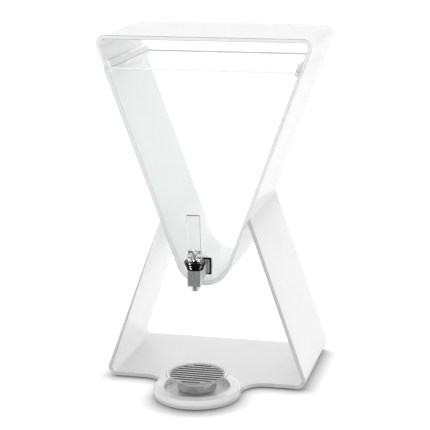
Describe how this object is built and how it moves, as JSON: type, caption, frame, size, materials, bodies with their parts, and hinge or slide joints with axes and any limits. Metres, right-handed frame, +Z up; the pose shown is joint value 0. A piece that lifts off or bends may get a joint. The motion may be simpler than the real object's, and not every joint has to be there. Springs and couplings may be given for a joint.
{
  "type": "beverage dispenser",
  "caption": "V-shaped acrylic drink tank under a flat roof on a bent stand, with a sliding lid, a lever tap and a removable drip tray on a round platform",
  "frame": {"origin": "on the surface the feet stand on, under the middle of the whole footprint", "axes": "+X to the right as seen from the tap's side, -Y towards the person who draws a drink, +Z up"},
  "size_m": [0.348, 0.3428, 0.5715],
  "materials": {
    "white_acrylic": "opal white, gloss",
    "clear_acrylic": "clear, polished",
    "chrome": "polished",
    "black_plastic": "gloss black",
    "steel": "satin",
    "black_rubber": "matte",
    "pale_silicone": "satin"
  },
  "bodies": {
    "dispenser": {"stand": "white_acrylic", "tray_seat_ring": "white_acrylic", "tank_band": "white_acrylic", "front_pane": "clear_acrylic", "rear_pane": "clear_acrylic", "lid_rail_left": "white_acrylic", "lid_rail_right": "white_acrylic", "leg_wedge_left": "white_acrylic", "leg_wedge_right": "white_acrylic", "foot_front_left": "pale_silicone", "foot_front_right": "pale_silicone", "foot_rear_left": "pale_silicone", "foot_rear_right": "pale_silicone", "foot_platform": "pale_silicone", "outer_gasket": "black_rubber", "tap_body": "chrome", "tap_shank": "steel", "inner_washer": "pale_silicone", "lock_nut": "chrome", "tap_spout": "chrome", "tap_bonnet": "black_plastic"},
    "sliding_lid": {"lid": "clear_acrylic"},
    "valve": {"valve_stem": "steel", "valve_seal": "pale_silicone", "lever_pin": "steel"},
    "lever": {"tap_lever": "clear_acrylic"},
    "tray": {"drip_tray": "clear_acrylic"},
    "cup": {"drip_cup": "steel"},
    "grate": {"drip_grate": "steel"}
  },
  "joints": [
    {"name": "lid_slide", "type": "slide", "parent": "dispenser", "child": "sliding_lid", "axis": [0, -1, 0], "range_m": [0, 0.2]},
    {"name": "lever_tilt", "type": "hinge", "parent": "valve", "child": "lever", "pos_m": [0, -0.10355, 0.23194], "axis": [1, 0, 0], "range_deg": [0, 30], "stiffness_Nm_per_rad": 0.15},
    {"name": "stem_lift", "type": "slide", "parent": "dispenser", "child": "valve", "axis": [0, 0, 1], "range_m": [0, 0.0025]},
    {"name": "tray_lift", "type": "slide", "parent": "dispenser", "child": "tray", "axis": [0, 0, 1], "range_m": [0, 0.05]},
    {"name": "cup_lift", "type": "slide", "parent": "tray", "child": "cup", "axis": [0, 0, 1], "range_m": [0, 0.04]},
    {"name": "grate_lift", "type": "slide", "parent": "cup", "child": "grate", "axis": [0, 0, 1], "range_m": [0, 0.03]}
  ],
  "couplings": [
    {"joint": "stem_lift", "follows": "lever_tilt", "m_per_rad": 0.00458}
  ]
}
